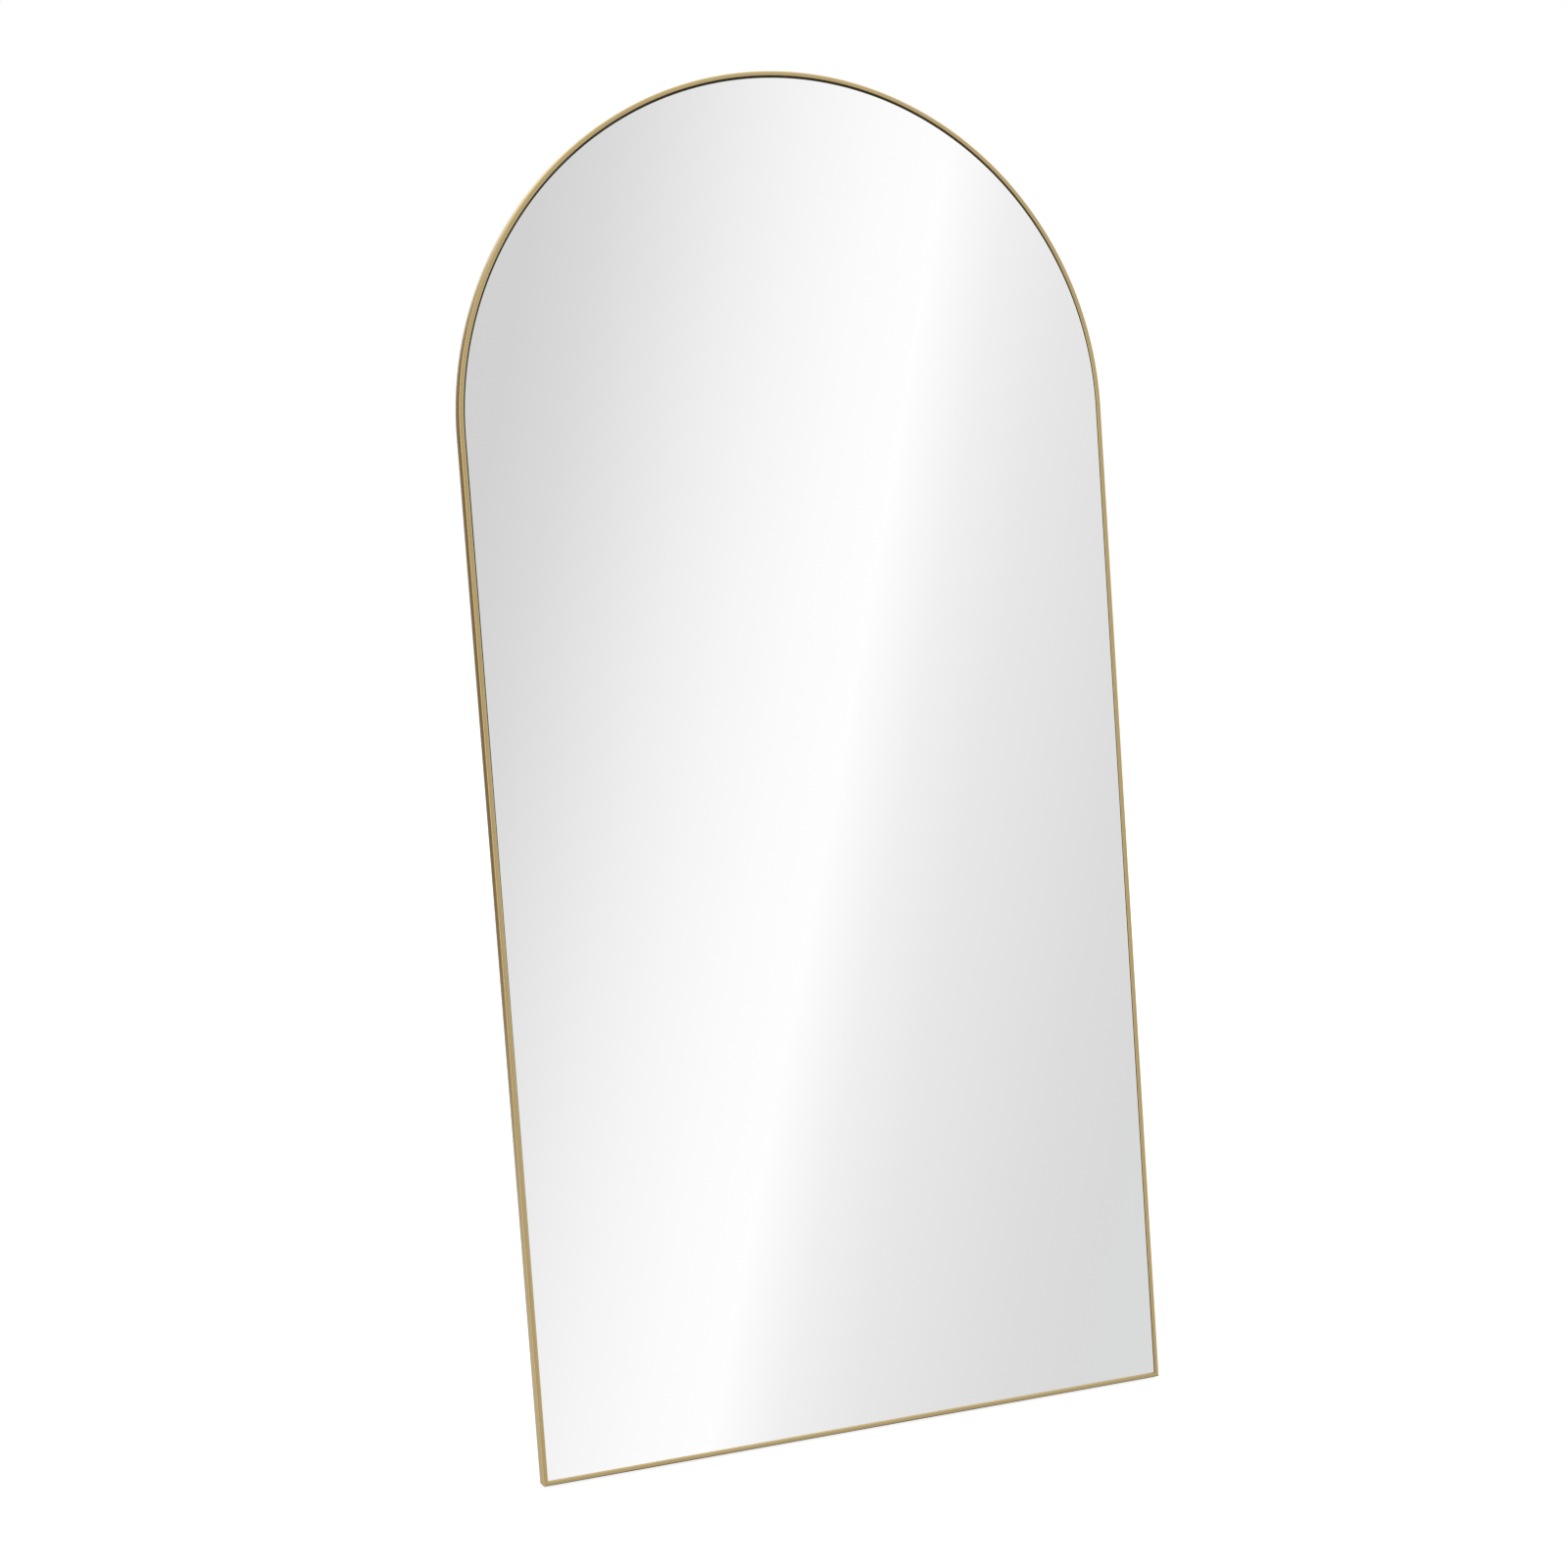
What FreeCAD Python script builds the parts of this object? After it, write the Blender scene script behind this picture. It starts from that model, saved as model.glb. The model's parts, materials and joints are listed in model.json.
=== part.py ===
"""Arched floor mirror that leans against a wall, in a thin brushed metal frame.

Every piece is modelled with the mirror plumb: X runs across, Y from the front face to the
back, Z up from the underside of the frame.  place() then leans the whole mirror back and
puts the origin on the floor, at the centre of the rubber strip that it stands on.
A frame section is drawn in u, measured inwards from the outer face, and v, measured
backwards from the front face.  All lengths are millimetres, all angles degrees.
"""
import FreeCAD, Part
import math
import os
from FreeCAD import Vector

# Outline and posture
WIDTH = 914.0
HEIGHT = 1829.0
LEAN_ANGLE = 11.3

# Frame section: lip in front, outer wall, and a channel behind that takes keys and bars
FACE_WIDTH = 6.0
LIP_THICKNESS = 1.8
WALL_THICKNESS = 1.5
WEB_THICKNESS = 1.2
CHANNEL_WIDTH = 11.3
CHANNEL_DEPTH = 3.4
UPSTAND_THICKNESS = 1.2
HOOK_THICKNESS = 1.2
OUTER_HOOK_REACH = 3.0
INNER_HOOK_REACH = 2.8
OUTER_EDGE_CHAMFER = 0.6

# What the lip holds, front to back
GASKET_THICKNESS = 0.5
GASKET_COVER = 3.3
GASKET_REVEAL = 1.3
TAPE_COVER = 2.8
TAPE_SETBACK = 0.4
GLASS_THICKNESS = 4.0
FILM_THICKNESS = 0.3
FILM_MARGIN = 1.5
BOARD_THICKNESS = 5.0
BOARD_EDGE_ROUND = 8.0
EDGE_GAP = 1.0

# Packing round the edge of the glass
SETTING_BLOCK_HEIGHT = 1.5
SETTING_BLOCK_LENGTH = 60.0
SETTING_BLOCK_SPACING = 480.0
SETTING_BLOCK_CHAMFER = 0.4
EDGE_SPACER_LENGTH = 80.0
EDGE_SPACER_CLEARANCE = 0.05
EDGE_SPACERS_PER_LEG = 3
EDGE_SPACER_END_DISTANCE = 160.0

# Bowed leaf springs between the board and the channel
SPRING_GAP = 1.6
SPRING_LENGTH = 44.0
SPRING_WIDTH = 8.0
SPRING_SHEET = 0.4
SPRING_CLEARANCE = 0.02
SPRING_BAR_DISTANCE = 105.0
SPRING_RAIL_SPACING = 420.0
HEAD_SPRING_ANGLES = (45.0, 90.0, 135.0)

# Corner keys with their shims and clamping screws
KEY_LEG_LENGTH = 48.0
KEY_THICKNESS = 2.0
KEY_SIDE_CLEARANCE = 0.15
SHIM_THICKNESS = 1.0
GRUB_DIAMETER = 4.0
GRUB_CLEARANCE = 0.05
GRUB_DISTANCE = 30.0
GRUB_PROUD = 0.3

# Cross bars, dropped into notches of the channel and screwed to its web
BAR_WIDTH = 30.0
BAR_THICKNESS = 3.0
UPPER_BAR_DROP = 122.0
LOWER_BAR_HEIGHT = 300.0
BAR_END_CLEARANCE = 0.5
BAR_NOTCH_CLEARANCE = 0.5
BAR_END_ROUND = 2.0
BAR_SCREW_DIAMETER = 3.5
BAR_SCREW_HEAD = 6.6
BAR_SCREW_HEAD_HEIGHT = 1.4
BAR_SCREW_CLEARANCE = 0.1
BAR_SCREW_END_DISTANCE = 4.3
BAR_SCREW_TIP = 0.6

# Strap hangers with their rings, riveted to the upper bar
HANGER_SPACING = 500.0
STRAP_WIDTH = 16.0
STRAP_SHEET = 1.0
STRAP_LENGTH = 24.0
STRAP_END_RADIUS = 7.2
STRAP_EYE_DROP = 3.2
RING_WIRE = 3.0
RING_WIRE_SIDES = 4
RING_EYE_CLEARANCE = 0.08
RING_WIDTH = 24.0
RING_SIDE = 5.0
RING_CORNER_RADIUS = 3.0
RIVET_DIAMETER = 5.0
RIVET_CLEARANCE = 0.05
RIVET_HEAD = 9.0
RIVET_HEAD_HEIGHT = 1.3
RIVET_TAIL = 7.5
RIVET_TAIL_HEIGHT = 0.9
RIVET_DISTANCE = 15.0

# Push-in buffers on the upper bar, which keep the rings off a wall or the ground
BUFFER_SPACING = 780.0
BUFFER_PROUD = 10.0
BUFFER_DIAMETER = 18.0
BUFFER_STEM = 6.0
BUFFER_STEM_CLEARANCE = 0.1
BUFFER_STEM_PROUD = 1.8

# Rubber that touches the wall and the floor
BUMPER_DIAMETER = 13.0
BUMPER_HEIGHT = 5.0
BUMPER_ANGLE = 13.0
STRIP_SETBACK = 8.0
STRIP_REAR_SETBACK = 0.5
STRIP_THICKNESS = 2.4
STRIP_HEEL = 6.5
STRIP_END_DISTANCE = 15.0
STRIP_EDGE_RADIUS = 0.7

# How far a cutting tool runs past what it cuts
OVERRUN = 1.0

# Heights and depths that follow from the sizes above
RADIUS = WIDTH / 2
SPRING_LINE = HEIGHT - RADIUS
BAR_HEIGHTS = {"upper": SPRING_LINE - UPPER_BAR_DROP, "lower": LOWER_BAR_HEIGHT}
GLASS_FRONT = LIP_THICKNESS + GASKET_THICKNESS
GLASS_BACK = GLASS_FRONT + GLASS_THICKNESS
BOARD_FRONT = GLASS_BACK + FILM_THICKNESS
BOARD_BACK = BOARD_FRONT + BOARD_THICKNESS
WEB_FRONT = BOARD_BACK + SPRING_GAP
WEB_BACK = WEB_FRONT + WEB_THICKNESS
HOOK_FRONT = WEB_BACK + CHANNEL_DEPTH
DEPTH = HOOK_FRONT + HOOK_THICKNESS
CHANNEL_INNER = WALL_THICKNESS + CHANNEL_WIDTH
SECTION_WIDTH = CHANNEL_INNER + UPSTAND_THICKNESS
OUTER_HOOK_EDGE = WALL_THICKNESS + OUTER_HOOK_REACH
INNER_HOOK_EDGE = CHANNEL_INNER - INNER_HOOK_REACH
SLOT_CENTRE = (OUTER_HOOK_EDGE + INNER_HOOK_EDGE) / 2
GLASS_INSET = WALL_THICKNESS + EDGE_GAP
GLASS_BOTTOM = WALL_THICKNESS + SETTING_BLOCK_HEIGHT
TAPE_TOP = FACE_WIDTH - TAPE_SETBACK
BAR_BACK = WEB_BACK + BAR_THICKNESS
BAR_END = OUTER_HOOK_EDGE + BAR_END_CLEARANCE
BAR_SCREW_INSET = BAR_END + BAR_SCREW_END_DISTANCE
RING_RADIUS = RING_WIRE / 2
EYE_RADIUS = RING_RADIUS + RING_EYE_CLEARANCE
EYE_OUTER_RADIUS = EYE_RADIUS + STRAP_SHEET
EYE_DEPTH = BAR_BACK + STRAP_SHEET + EYE_RADIUS
EYE_HEIGHT = BAR_HEIGHTS["upper"] - BAR_WIDTH / 2 - STRAP_EYE_DROP
STRAP_BACK = BAR_BACK + 2 * STRAP_SHEET
STRIP_REAR = DEPTH - STRIP_REAR_SETBACK
HEEL_RISE = STRIP_HEEL * math.tan(math.radians(LEAN_ANGLE))
FLOOR_POINT = Vector(0, STRIP_REAR - STRIP_HEEL / 2, HEEL_RISE / 2 - STRIP_THICKNESS)

ACROSS = Vector(1, 0, 0)
BACKWARDS = Vector(0, 1, 0)
UP = Vector(0, 0, 1)
CENTRE = Vector(0, 0, 0)
HEAD_CENTRE = Vector(0, 0, SPRING_LINE)


def rounded_wire(corners):
    """Closed outline in the XY plane through corners given as (x, y) or (x, y, radius)."""
    points = [Vector(corner[0], corner[1], 0) for corner in corners]
    radii = [corner[2] if len(corner) == 3 else 0.0 for corner in corners]
    arcs = []
    for i, (corner, radius) in enumerate(zip(points, radii)):
        back = (points[i - 1] - corner).normalize()
        ahead = (points[(i + 1) % len(points)] - corner).normalize()
        half_angle = back.getAngle(ahead) / 2
        setback = radius / math.tan(half_angle)
        middle = (back + ahead).normalize() * (radius / math.sin(half_angle) - radius)
        arcs.append((corner + back * setback, corner + middle, corner + ahead * setback))
    edges = []
    for i, (start, middle, end) in enumerate(arcs):
        if radii[i] > 0:
            edges.append(Part.Arc(start, middle, end).toShape())
        edges.append(Part.makeLine(end, arcs[(i + 1) % len(arcs)][0]))
    return Part.Wire(edges)


def rounded_face(corners):
    return Part.Face(rounded_wire(corners))


def mirrored(shape):
    """The same piece on the other side of the mirror's middle."""
    return shape.mirror(CENTRE, ACROSS)


def fused(shapes):
    """One solid from pieces that touch, without the seams between them."""
    return shapes[0].fuse(shapes[1:]).removeSplitter()


def grouped(shapes):
    """Separate solids in one node."""
    return Part.makeCompound(shapes)


def block(size, centre):
    """Rectangular block of the given size about its centre."""
    corner = centre - size * 0.5
    return Part.makeBox(size.x, size.y, size.z, corner)


def along_x(section, start, length):
    """Extrude a section drawn as (y, z) along X."""
    turned = section.copy()
    turned.rotate(CENTRE, Vector(1, 1, 1), 120)
    turned.translate(ACROSS * start)
    return turned.extrude(ACROSS * length)


def upright_plate(outline, front, thickness):
    """Extrude an outline drawn as (x, z) backwards from the depth of its front."""
    plate = outline.copy()
    plate.rotate(CENTRE, ACROSS, 90)
    plate.translate(BACKWARDS * front)
    return plate.extrude(BACKWARDS * thickness)


def drilling(radius, front, back, centre):
    """What a drill takes out, from just before one depth to just past another."""
    length = back - front + 2 * OVERRUN
    return Part.makeCylinder(radius, length, centre + BACKWARDS * (front - OVERRUN), BACKWARDS)


def turned_piece(profile):
    """Revolve a profile drawn as (radius, v) about the depth axis."""
    return rounded_face(profile).revolve(CENTRE, BACKWARDS, 360)


# Frame


def frame_section():
    return rounded_face([
        (0, OUTER_EDGE_CHAMFER),
        (OUTER_EDGE_CHAMFER, 0),
        (FACE_WIDTH, 0),
        (FACE_WIDTH, LIP_THICKNESS),
        (WALL_THICKNESS, LIP_THICKNESS),
        (WALL_THICKNESS, WEB_FRONT),
        (SECTION_WIDTH, WEB_FRONT),
        (SECTION_WIDTH, DEPTH),
        (INNER_HOOK_EDGE, DEPTH),
        (INNER_HOOK_EDGE, HOOK_FRONT),
        (CHANNEL_INNER, HOOK_FRONT),
        (CHANNEL_INNER, WEB_BACK),
        (WALL_THICKNESS, WEB_BACK),
        (WALL_THICKNESS, HOOK_FRONT),
        (OUTER_HOOK_EDGE, HOOK_FRONT),
        (OUTER_HOOK_EDGE, DEPTH),
        (0, DEPTH),
    ])


def leg_section():
    section = frame_section()
    section.translate(Vector(-RADIUS, 0, 0))
    return section


def mitre_wedge():
    """What the mitre takes off the foot of the left leg."""
    reach = 2 * SECTION_WIDTH
    outline = rounded_face([
        (-RADIUS, 0),
        (reach - RADIUS, reach),
        (reach - RADIUS, -OVERRUN),
        (-RADIUS, -OVERRUN),
    ])
    return upright_plate(outline, -OVERRUN, DEPTH + 2 * OVERRUN)


def bar_screw_place(height):
    """Centre of the screw at the left end of a cross bar."""
    return Vector(BAR_SCREW_INSET - RADIUS, 0, height)


def bar_notch(height):
    """Gap in the left channel's inner edge, through which a cross bar reaches the web."""
    reach = SECTION_WIDTH - INNER_HOOK_EDGE + OVERRUN
    size = Vector(reach, DEPTH, BAR_WIDTH + 2 * BAR_NOTCH_CLEARANCE)
    centre = Vector(INNER_HOOK_EDGE + reach / 2 - RADIUS, WEB_BACK + DEPTH / 2, height)
    return block(size, centre)


def frame_arch():
    """Left leg, half-round head and right leg: one length of the section, bent."""
    leg = leg_section().extrude(UP * SPRING_LINE)
    cuts = [mitre_wedge()]
    for height in BAR_HEIGHTS.values():
        cuts += [bar_notch(height), bar_screw_hole(height, WEB_FRONT, WEB_BACK)]
    leg = leg.cut(cuts)
    head = leg_section().translated(HEAD_CENTRE).revolve(HEAD_CENTRE, BACKWARDS, 180)
    return fused([head, leg, mirrored(leg)])


def bottom_rail():
    """Straight length of the same section, mitred at both ends."""
    rail = frame_section().extrude(UP * WIDTH)
    rail.rotate(CENTRE, BACKWARDS, -90)
    rail.translate(ACROSS * RADIUS)
    mitred = rounded_face([
        (-RADIUS, 0),
        (RADIUS, 0),
        (RADIUS - 2 * SECTION_WIDTH, 2 * SECTION_WIDTH),
        (2 * SECTION_WIDTH - RADIUS, 2 * SECTION_WIDTH),
    ])
    return rail.common(upright_plate(mitred, -OVERRUN, DEPTH + 2 * OVERRUN))


# Corner joints


def corner_plate(front, thickness):
    """L-shaped plate in the left corner's channel."""
    near = WALL_THICKNESS + KEY_SIDE_CLEARANCE
    far = CHANNEL_INNER - KEY_SIDE_CLEARANCE
    end = near + KEY_LEG_LENGTH
    outline = rounded_face([
        (near, near),
        (end, near),
        (end, far),
        (far, far),
        (far, end),
        (near, end),
    ])
    return upright_plate(outline.translated(Vector(-RADIUS, 0, 0)), front, thickness)


def grub_places():
    """Centres of the left corner's clamping screws, one on each leg of the key."""
    in_rail = Vector(GRUB_DISTANCE - RADIUS, 0, SLOT_CENTRE)
    in_leg = Vector(SLOT_CENTRE - RADIUS, 0, GRUB_DISTANCE)
    return [in_rail, in_leg]


def corner_key():
    front = HOOK_FRONT - KEY_THICKNESS
    radius = GRUB_DIAMETER / 2 + GRUB_CLEARANCE
    holes = [drilling(radius, front, HOOK_FRONT, centre) for centre in grub_places()]
    return corner_plate(front, KEY_THICKNESS).cut(holes)


def corner_shim():
    return corner_plate(WEB_BACK, SHIM_THICKNESS)


def grub_screw():
    """Headless screw that presses the shim and the key apart."""
    start = WEB_BACK + SHIM_THICKNESS
    end = HOOK_FRONT + GRUB_PROUD
    return Part.makeCylinder(GRUB_DIAMETER / 2, end - start, BACKWARDS * start, BACKWARDS)


def corner_screws():
    screw = grub_screw()
    left = [screw.translated(centre) for centre in grub_places()]
    return grouped(left + [mirrored(each) for each in left])


# Glass and what lies behind it


def arch_outline(inset, bottom):
    """The mirror's outline drawn in from the frame's outer face, as (x, z)."""
    half = RADIUS - inset
    left_foot = Vector(-half, bottom, 0)
    right_foot = Vector(half, bottom, 0)
    left_spring = Vector(-half, SPRING_LINE, 0)
    right_spring = Vector(half, SPRING_LINE, 0)
    crown = Vector(0, SPRING_LINE + half, 0)
    return Part.Face(Part.Wire([
        Part.makeLine(left_foot, right_foot),
        Part.makeLine(right_foot, right_spring),
        Part.Arc(right_spring, crown, left_spring).toShape(),
        Part.makeLine(left_spring, left_foot),
    ]))


def arch_plate(inset, bottom, front, thickness):
    return upright_plate(arch_outline(inset, bottom), front, thickness)


def mirror_glass():
    return arch_plate(GLASS_INSET, GLASS_BOTTOM, GLASS_FRONT, GLASS_THICKNESS)


def safety_film():
    """Film bonded to the silvered back, which holds the glass together if it breaks."""
    return arch_plate(GLASS_INSET + FILM_MARGIN, GLASS_BOTTOM + FILM_MARGIN, GLASS_BACK, FILM_THICKNESS)


def backing_board():
    board = arch_plate(GLASS_INSET, GLASS_BOTTOM, BOARD_FRONT, BOARD_THICKNESS)
    corners = [edge for edge in board.Edges if is_lower_corner(edge)]
    return board.makeFillet(BOARD_EDGE_ROUND, corners)


def is_lower_corner(edge):
    """True for the board's two bottom corners, rounded so that they don't catch in the legs."""
    box = edge.BoundBox
    runs_back = box.YLength > BOARD_THICKNESS / 2
    return runs_back and box.XLength < OVERRUN and box.ZMax < GLASS_BOTTOM + OVERRUN


def arch_gasket():
    """Black gasket under the lip of the legs and head, with an edge left in view."""
    outer = FACE_WIDTH - GASKET_COVER
    inner = FACE_WIDTH + GASKET_REVEAL
    outline = arch_outline(outer, TAPE_TOP).cut(arch_outline(inner, TAPE_TOP))
    return upright_plate(outline, LIP_THICKNESS, GASKET_THICKNESS).Solids[0]


def bottom_tape():
    """Foam tape behind the bottom rail's lip, out of sight from the front."""
    bottom = TAPE_TOP - TAPE_COVER
    half = RADIUS - FACE_WIDTH + GASKET_COVER
    size = Vector(2 * half, GASKET_THICKNESS, TAPE_COVER)
    return block(size, Vector(0, LIP_THICKNESS + GASKET_THICKNESS / 2, bottom + TAPE_COVER / 2))


def setting_blocks():
    """Packers in the bottom rail, which carry the glass and the board."""
    section = rounded_face([
        (GLASS_FRONT, WALL_THICKNESS),
        (BOARD_BACK, WALL_THICKNESS),
        (BOARD_BACK, GLASS_BOTTOM),
        (GLASS_FRONT + SETTING_BLOCK_CHAMFER, GLASS_BOTTOM),
        (GLASS_FRONT, GLASS_BOTTOM - SETTING_BLOCK_CHAMFER),
    ])
    left_start = -(SETTING_BLOCK_SPACING + SETTING_BLOCK_LENGTH) / 2
    left = along_x(section, left_start, SETTING_BLOCK_LENGTH)
    return grouped([left, mirrored(left)])


def edge_spacers():
    """Strips of foam between the glass and the legs."""
    width = EDGE_GAP - 2 * EDGE_SPACER_CLEARANCE
    depth = GLASS_THICKNESS
    run = SPRING_LINE - 2 * EDGE_SPACER_END_DISTANCE
    spacers = []
    for i in range(EDGE_SPACERS_PER_LEG):
        height = EDGE_SPACER_END_DISTANCE + run * i / (EDGE_SPACERS_PER_LEG - 1)
        size = Vector(width, depth, EDGE_SPACER_LENGTH)
        middle = Vector(GLASS_INSET - EDGE_GAP / 2 - RADIUS, GLASS_FRONT + depth / 2, height)
        spacers.append(block(size, middle))
    return grouped(spacers + [mirrored(spacer) for spacer in spacers])


def bow_spring():
    """Leaf spring along X: its ends press on the board and its crown on the web."""
    half = SPRING_LENGTH / 2
    low = BOARD_BACK + SPRING_CLEARANCE
    high = WEB_FRONT - SPRING_CLEARANCE
    foot = Vector(half, low, 0)
    heel = Vector(-half, low, 0)
    sheet = BACKWARDS * SPRING_SHEET
    crown = BACKWARDS * high
    outline = Part.Face(Part.Wire([
        Part.Arc(heel, crown - sheet, foot).toShape(),
        Part.makeLine(foot, foot + sheet),
        Part.Arc(foot + sheet, crown, heel + sheet).toShape(),
        Part.makeLine(heel + sheet, heel),
    ]))
    return outline.extrude(UP * SPRING_WIDTH).translated(UP * (-SPRING_WIDTH / 2))


def bow_springs():
    inset = (WALL_THICKNESS + SECTION_WIDTH) / 2
    flat = bow_spring()
    upright = flat.rotated(CENTRE, BACKWARDS, 90)
    springs = []
    for height in BAR_HEIGHTS.values():
        for side in (-1, 1):
            middle = Vector(inset - RADIUS, 0, height + side * SPRING_BAR_DISTANCE)
            springs.append(upright.translated(middle))
    springs += [mirrored(spring) for spring in springs]
    for side in (-1, 1):
        springs.append(flat.translated(Vector(side * SPRING_RAIL_SPACING / 2, 0, inset)))
    for angle in HEAD_SPRING_ANGLES:
        crown = flat.translated(UP * (HEIGHT - inset))
        springs.append(crown.rotated(HEAD_CENTRE, BACKWARDS, angle - 90))
    return grouped(springs)


# Cross bars


def bar_screw():
    """Flat-headed screw through a cross bar into the channel's web."""
    shank = BAR_SCREW_DIAMETER / 2
    head = BAR_SCREW_HEAD / 2
    tip = WEB_FRONT - BAR_SCREW_TIP
    top = BAR_BACK + BAR_SCREW_HEAD_HEIGHT
    return turned_piece([
        (0, tip),
        (shank, tip),
        (shank, BAR_BACK),
        (head, BAR_BACK),
        (head, top),
        (0, top),
    ])


def bar_screw_hole(height, front, back):
    """Left clearance hole for a bar's screw, through the bar or through the web."""
    radius = BAR_SCREW_DIAMETER / 2 + BAR_SCREW_CLEARANCE
    return drilling(radius, front, back, bar_screw_place(height))


def cross_bar(name):
    """Flat bar from leg to leg; the upper one also takes the hangers and the buffers."""
    height = BAR_HEIGHTS[name]
    half = RADIUS - BAR_END
    low = height - BAR_WIDTH / 2
    high = height + BAR_WIDTH / 2
    outline = rounded_face([
        (-half, low, BAR_END_ROUND),
        (half, low, BAR_END_ROUND),
        (half, high, BAR_END_ROUND),
        (-half, high, BAR_END_ROUND),
    ])
    bar = upright_plate(outline, WEB_BACK, BAR_THICKNESS)
    left = [bar_screw_hole(height, WEB_BACK, BAR_BACK)]
    if name == "upper":
        left += [rivet_hole(), buffer_hole()]
    return bar.cut(left + [mirrored(hole) for hole in left])


def cross_bar_screws():
    screw = bar_screw()
    left = [screw.translated(bar_screw_place(height)) for height in BAR_HEIGHTS.values()]
    return grouped(left + [mirrored(each) for each in left])


# Hangers


def rivet_place():
    """Centre of the left hanger's rivet."""
    return Vector(-HANGER_SPACING / 2, 0, EYE_HEIGHT + RIVET_DISTANCE)


def rivet_hole():
    return drilling(RIVET_DIAMETER / 2 + RIVET_CLEARANCE, WEB_BACK, STRAP_BACK, rivet_place())


def hanger_strap():
    """Left strap: sheet folded round the ring's straight side and pressed together."""
    top = EYE_HEIGHT + STRAP_LENGTH
    layers = rounded_face([
        (BAR_BACK, EYE_HEIGHT),
        (BAR_BACK + STRAP_SHEET, EYE_HEIGHT),
        (STRAP_BACK, EYE_HEIGHT + EYE_RADIUS),
        (STRAP_BACK, top),
        (BAR_BACK, top),
    ])
    eye_centre = Vector(EYE_DEPTH, EYE_HEIGHT, 0)
    eye = Part.Face(Part.Wire(Part.makeCircle(EYE_OUTER_RADIUS, eye_centre)))
    bore = Part.Face(Part.Wire(Part.makeCircle(EYE_RADIUS, eye_centre)))
    left = -(HANGER_SPACING + STRAP_WIDTH) / 2
    right = left + STRAP_WIDTH
    low = EYE_HEIGHT - 2 * EYE_OUTER_RADIUS
    folded = fused([along_x(face, left, STRAP_WIDTH) for face in (layers, eye)])
    plan = rounded_face([
        (left, low),
        (right, low),
        (right, top, STRAP_END_RADIUS),
        (left, top, STRAP_END_RADIUS),
    ])
    blank = folded.common(upright_plate(plan, 0, 2 * DEPTH))
    return blank.cut([along_x(bore, left, STRAP_WIDTH), rivet_hole()])


def rivet():
    """Flat-headed rivet, its tail set against the front of the upper cross bar."""
    shank = RIVET_DIAMETER / 2
    head = RIVET_HEAD / 2
    tail = RIVET_TAIL / 2
    top = STRAP_BACK + RIVET_HEAD_HEIGHT
    return turned_piece([
        (0, WEB_BACK - RIVET_TAIL_HEIGHT),
        (tail, WEB_BACK - RIVET_TAIL_HEIGHT),
        (tail, WEB_BACK),
        (shank, WEB_BACK),
        (shank, STRAP_BACK),
        (head, STRAP_BACK),
        (head, top),
        (0, top),
    ])


def hanger_rivets():
    left = rivet().translated(rivet_place())
    return grouped([left, mirrored(left)])


def ring_path():
    """Centre line of a ring in the XZ plane: straight side on the X axis, bow below."""
    half = RING_WIDTH / 2
    radius = RING_CORNER_RADIUS
    slack = radius * (1 - math.sqrt(0.5))
    top_left = Vector(radius - half, 0, 0)
    top_right = Vector(half - radius, 0, 0)
    right_shoulder = Vector(half, 0, -radius)
    left_shoulder = Vector(-half, 0, -radius)
    right_side = Vector(half, 0, -RING_SIDE)
    left_side = Vector(-half, 0, -RING_SIDE)
    bow = Vector(0, 0, -RING_SIDE - half)
    right_corner = Vector(half - slack, 0, -slack)
    left_corner = Vector(slack - half, 0, -slack)
    return Part.Wire([
        Part.makeLine(top_left, top_right),
        Part.Arc(top_right, right_corner, right_shoulder).toShape(),
        Part.makeLine(right_shoulder, right_side),
        Part.Arc(right_side, bow, left_side).toShape(),
        Part.makeLine(left_side, left_shoulder),
        Part.Arc(left_shoulder, left_corner, top_left).toShape(),
    ])


def d_ring():
    """Left ring, of square wire, hanging plumb from its eye once the mirror leans."""
    path = ring_path()
    start = path.Edges[0].Vertexes[0].Point
    corners = []
    for i in range(RING_WIRE_SIDES + 1):
        angle = 2 * math.pi * (i + 0.5) / RING_WIRE_SIDES
        corners.append(start + Vector(0, math.cos(angle), math.sin(angle)) * RING_RADIUS)
    ring = path.makePipeShell([Part.makePolygon(corners)], True, False)
    ring.rotate(CENTRE, ACROSS, LEAN_ANGLE)
    return ring.translated(Vector(-HANGER_SPACING / 2, EYE_DEPTH, EYE_HEIGHT))


# Rubber


def buffer_place():
    """Centre of the left buffer."""
    return Vector(-BUFFER_SPACING / 2, 0, BAR_HEIGHTS["upper"])


def buffer_hole():
    return drilling(BUFFER_STEM / 2 + BUFFER_STEM_CLEARANCE, WEB_BACK, BAR_BACK, buffer_place())


def hanger_buffer():
    """Left buffer: a rubber stud whose stem is pushed through the upper cross bar."""
    stem = BUFFER_STEM / 2
    tip = WEB_BACK - BUFFER_STEM_PROUD
    top = DEPTH + BUFFER_PROUD
    buffer = turned_piece([
        (0, tip),
        (stem, tip),
        (stem, BAR_BACK),
        (BUFFER_DIAMETER / 2, BAR_BACK),
        (BUFFER_DIAMETER / 2, top),
        (0, top),
    ])
    return buffer.translated(buffer_place())


def wall_bumper():
    """Left bumper, stuck across the channel's slot at the back of the head."""
    foot = Vector(0, DEPTH, HEIGHT - SLOT_CENTRE)
    crown = Part.makeCylinder(BUMPER_DIAMETER / 2, BUMPER_HEIGHT, foot, BACKWARDS)
    return crown.rotated(HEAD_CENTRE, BACKWARDS, -BUMPER_ANGLE)


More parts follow.
